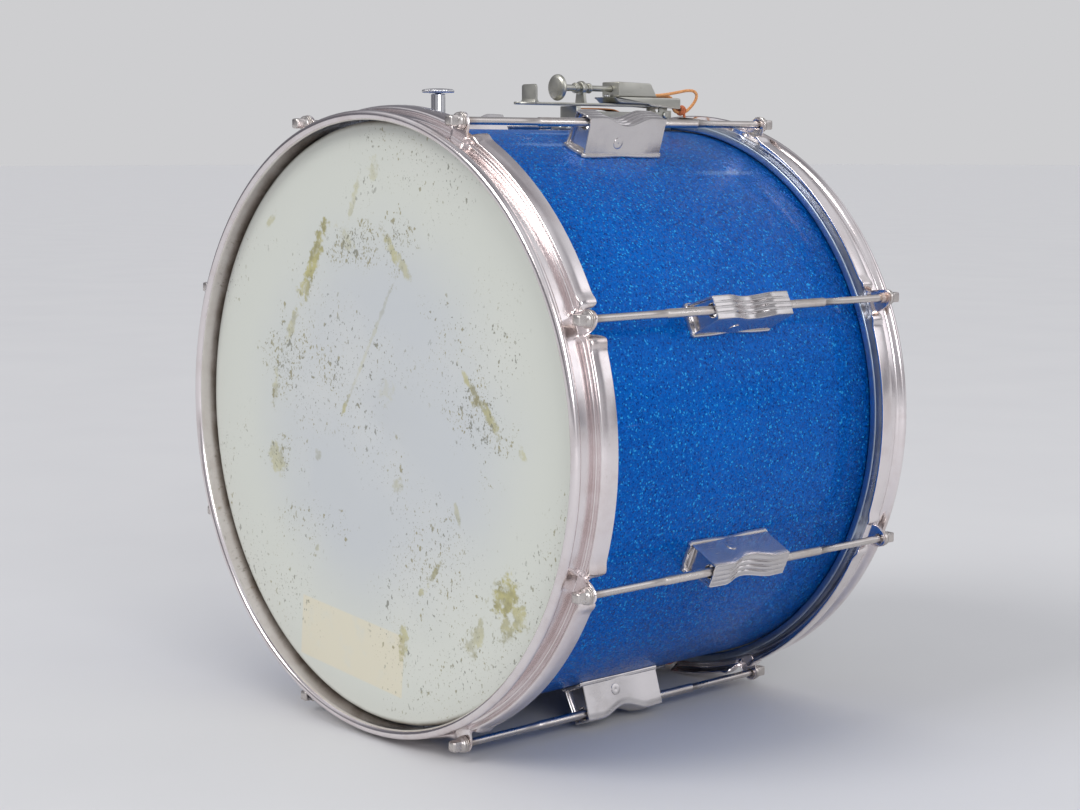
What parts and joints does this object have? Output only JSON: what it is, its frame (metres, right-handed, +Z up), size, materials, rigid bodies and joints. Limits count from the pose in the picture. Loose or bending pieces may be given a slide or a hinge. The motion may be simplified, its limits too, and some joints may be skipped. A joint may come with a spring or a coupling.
{
  "type": "parade snare drum",
  "caption": "Cylindrical double-headed parade snare drum on its side, with flanged counterhoops, double-ended lugs, tension rods, snare strainer and internal tone control.",
  "frame": {"origin": "on the floor, under the middle of the drum lying on its side: the centre of the bounding box's bottom", "axes": "+Y along the drum's axis from the batter head to the snare head, +Z up through the strainer, +X across"},
  "size_m": [0.384, 0.2814, 0.4054],
  "materials": {
    "shell_ply": "clear-sealed birch plywood, satin",
    "sparkle_covering": "royal blue sparkle laminate, glossy, lightly scuffed",
    "coated_head": "off-white coated head film, soiled with olive smears",
    "clear_head": "thin translucent film",
    "flesh_hoop_alloy": "drawn alloy, satin",
    "hoop_chrome": "worn chrome plate, tarnished near the ears",
    "lug_chrome": "dulled chrome plate on a casting",
    "rod_nickel": "dull nickel with brown tarnish",
    "strainer_nickel": "olive-grey tarnished nickel",
    "spring_brass": "tarnished brass leaf",
    "bright_chrome": "bright chrome plate",
    "snare_wire": "wire-wound strands on metal end plates",
    "tan_cord": "waxed twisted cord",
    "orange_cord": "twisted red-orange cord",
    "muffler_steel": "plated spring steel",
    "grey_felt": "pressed wool felt"
  },
  "bodies": {
    "root": {"shell": "shell_ply", "batter_reinforcement_ring": "shell_ply", "snare_reinforcement_ring": "shell_ply", "sparkle_wrap": "sparkle_covering", "batter_head_film": "coated_head", "snare_head_film": "clear_head", "batter_flesh_hoop": "flesh_hoop_alloy", "snare_flesh_hoop": "flesh_hoop_alloy", "batter_hoop": "hoop_chrome", "snare_hoop": "hoop_chrome", "lug_1": "lug_chrome", "lug_2": "lug_chrome", "lug_3": "lug_chrome", "lug_4": "lug_chrome", "lug_5": "lug_chrome", "lug_6": "lug_chrome", "lug_7": "lug_chrome", "lug_8": "lug_chrome", "strainer_base": "strainer_nickel", "lever_pivot_pin": "strainer_nickel", "strainer_spring": "spring_brass", "snare_pin": "bright_chrome", "butt_bracket": "bright_chrome", "butt_clamp_bar": "bright_chrome", "butt_screw_1": "bright_chrome", "butt_screw_2": "bright_chrome", "muffler_bush": "bright_chrome", "vent_grommet": "bright_chrome", "snare_set": "snare_wire", "snare_cord": "tan_cord", "snare_tie": "orange_cord", "butt_cord": "orange_cord"},
    "batter_rod_1": {"batter_rod_1": "rod_nickel"},
    "batter_rod_2": {"batter_rod_2": "rod_nickel"},
    "batter_rod_3": {"batter_rod_3": "rod_nickel"},
    "batter_rod_4": {"batter_rod_4": "rod_nickel"},
    "batter_rod_5": {"batter_rod_5": "rod_nickel"},
    "batter_rod_6": {"batter_rod_6": "rod_nickel"},
    "batter_rod_7": {"batter_rod_7": "rod_nickel"},
    "batter_rod_8": {"batter_rod_8": "rod_nickel"},
    "snare_rod_1": {"snare_rod_1": "rod_nickel"},
    "snare_rod_2": {"snare_rod_2": "rod_nickel"},
    "snare_rod_3": {"snare_rod_3": "rod_nickel"},
    "snare_rod_4": {"snare_rod_4": "rod_nickel"},
    "snare_rod_5": {"snare_rod_5": "rod_nickel"},
    "snare_rod_6": {"snare_rod_6": "rod_nickel"},
    "snare_rod_7": {"snare_rod_7": "rod_nickel"},
    "snare_rod_8": {"snare_rod_8": "rod_nickel"},
    "strainer_arm": {"strainer_lever": "strainer_nickel"},
    "thumbscrew": {"thumbscrew": "strainer_nickel"},
    "clamp_carriage": {"clamp_saddle": "strainer_nickel", "clamp_block": "strainer_nickel", "clamp_screw": "strainer_nickel"},
    "muffler_knob": {"muffler_knob": "bright_chrome"},
    "muffler_arm": {"muffler_arm": "muffler_steel", "muffler_pad": "grey_felt"}
  },
  "joints": [
    {"name": "batter_rod_1_turn", "type": "hinge", "parent": "root", "child": "batter_rod_1", "pos_m": [0.18154, -0.0685, 0.2672], "axis": [0, 1, 0], "continuous": true},
    {"name": "batter_rod_2_turn", "type": "hinge", "parent": "root", "child": "batter_rod_2", "pos_m": [0.0752, -0.0685, 0.37354], "axis": [0, 1, 0], "continuous": true},
    {"name": "batter_rod_3_turn", "type": "hinge", "parent": "root", "child": "batter_rod_3", "pos_m": [-0.0752, -0.0685, 0.37354], "axis": [0, 1, 0], "continuous": true},
    {"name": "batter_rod_4_turn", "type": "hinge", "parent": "root", "child": "batter_rod_4", "pos_m": [-0.18154, -0.0685, 0.2672], "axis": [0, 1, 0], "continuous": true},
    {"name": "batter_rod_5_turn", "type": "hinge", "parent": "root", "child": "batter_rod_5", "pos_m": [-0.18154, -0.0685, 0.1168], "axis": [0, 1, 0], "continuous": true},
    {"name": "batter_rod_6_turn", "type": "hinge", "parent": "root", "child": "batter_rod_6", "pos_m": [-0.0752, -0.0685, 0.01046], "axis": [0, 1, 0], "continuous": true},
    {"name": "batter_rod_7_turn", "type": "hinge", "parent": "root", "child": "batter_rod_7", "pos_m": [0.0752, -0.0685, 0.01046], "axis": [0, 1, 0], "continuous": true},
    {"name": "batter_rod_8_turn", "type": "hinge", "parent": "root", "child": "batter_rod_8", "pos_m": [0.18154, -0.0685, 0.1168], "axis": [0, 1, 0], "continuous": true},
    {"name": "snare_rod_1_turn", "type": "hinge", "parent": "root", "child": "snare_rod_1", "pos_m": [0.18154, 0.0685, 0.2672], "axis": [0, 1, 0], "continuous": true},
    {"name": "snare_rod_2_turn", "type": "hinge", "parent": "root", "child": "snare_rod_2", "pos_m": [0.0752, 0.0685, 0.37354], "axis": [0, 1, 0], "continuous": true},
    {"name": "snare_rod_3_turn", "type": "hinge", "parent": "root", "child": "snare_rod_3", "pos_m": [-0.0752, 0.0685, 0.37354], "axis": [0, 1, 0], "continuous": true},
    {"name": "snare_rod_4_turn", "type": "hinge", "parent": "root", "child": "snare_rod_4", "pos_m": [-0.18154, 0.0685, 0.2672], "axis": [0, 1, 0], "continuous": true},
    {"name": "snare_rod_5_turn", "type": "hinge", "parent": "root", "child": "snare_rod_5", "pos_m": [-0.18154, 0.0685, 0.1168], "axis": [0, 1, 0], "continuous": true},
    {"name": "snare_rod_6_turn", "type": "hinge", "parent": "root", "child": "snare_rod_6", "pos_m": [-0.0752, 0.0685, 0.01046], "axis": [0, 1, 0], "continuous": true},
    {"name": "snare_rod_7_turn", "type": "hinge", "parent": "root", "child": "snare_rod_7", "pos_m": [0.0752, 0.0685, 0.01046], "axis": [0, 1, 0], "continuous": true},
    {"name": "snare_rod_8_turn", "type": "hinge", "parent": "root", "child": "snare_rod_8", "pos_m": [0.18154, 0.0685, 0.1168], "axis": [0, 1, 0], "continuous": true},
    {"name": "strainer_throw_off", "type": "hinge", "parent": "root", "child": "strainer_arm", "pos_m": [0, 0.106, 0.3805], "axis": [1, 0, 0], "range_deg": [-25, 0], "deforming": ["snare_cord"]},
    {"name": "thumbscrew_turn", "type": "hinge", "parent": "strainer_arm", "child": "thumbscrew", "pos_m": [0, 0.037, 0.397], "axis": [0, 1, 0], "range_deg": [-2058, 258]},
    {"name": "clamp_slide", "type": "slide", "parent": "strainer_arm", "child": "clamp_carriage", "axis": [0, 1, 0], "range_m": [-0.004, 0.0005]},
    {"name": "muffler_knob_turn", "type": "hinge", "parent": "root", "child": "muffler_knob", "pos_m": [0, -0.081, 0.377], "axis": [0, 0, 1], "range_deg": [0, 540]},
    {"name": "muffler_arm_swing", "type": "hinge", "parent": "root", "child": "muffler_arm", "pos_m": [0, -0.092, 0.352], "axis": [1, 0, 0], "range_deg": [0, 12]}
  ],
  "couplings": [
    {"joint": "thumbscrew_turn", "follows": "clamp_slide", "rad_per_m": 8976},
    {"joint": "muffler_arm_swing", "follows": "muffler_knob_turn", "ratio": 0.0222}
  ]
}
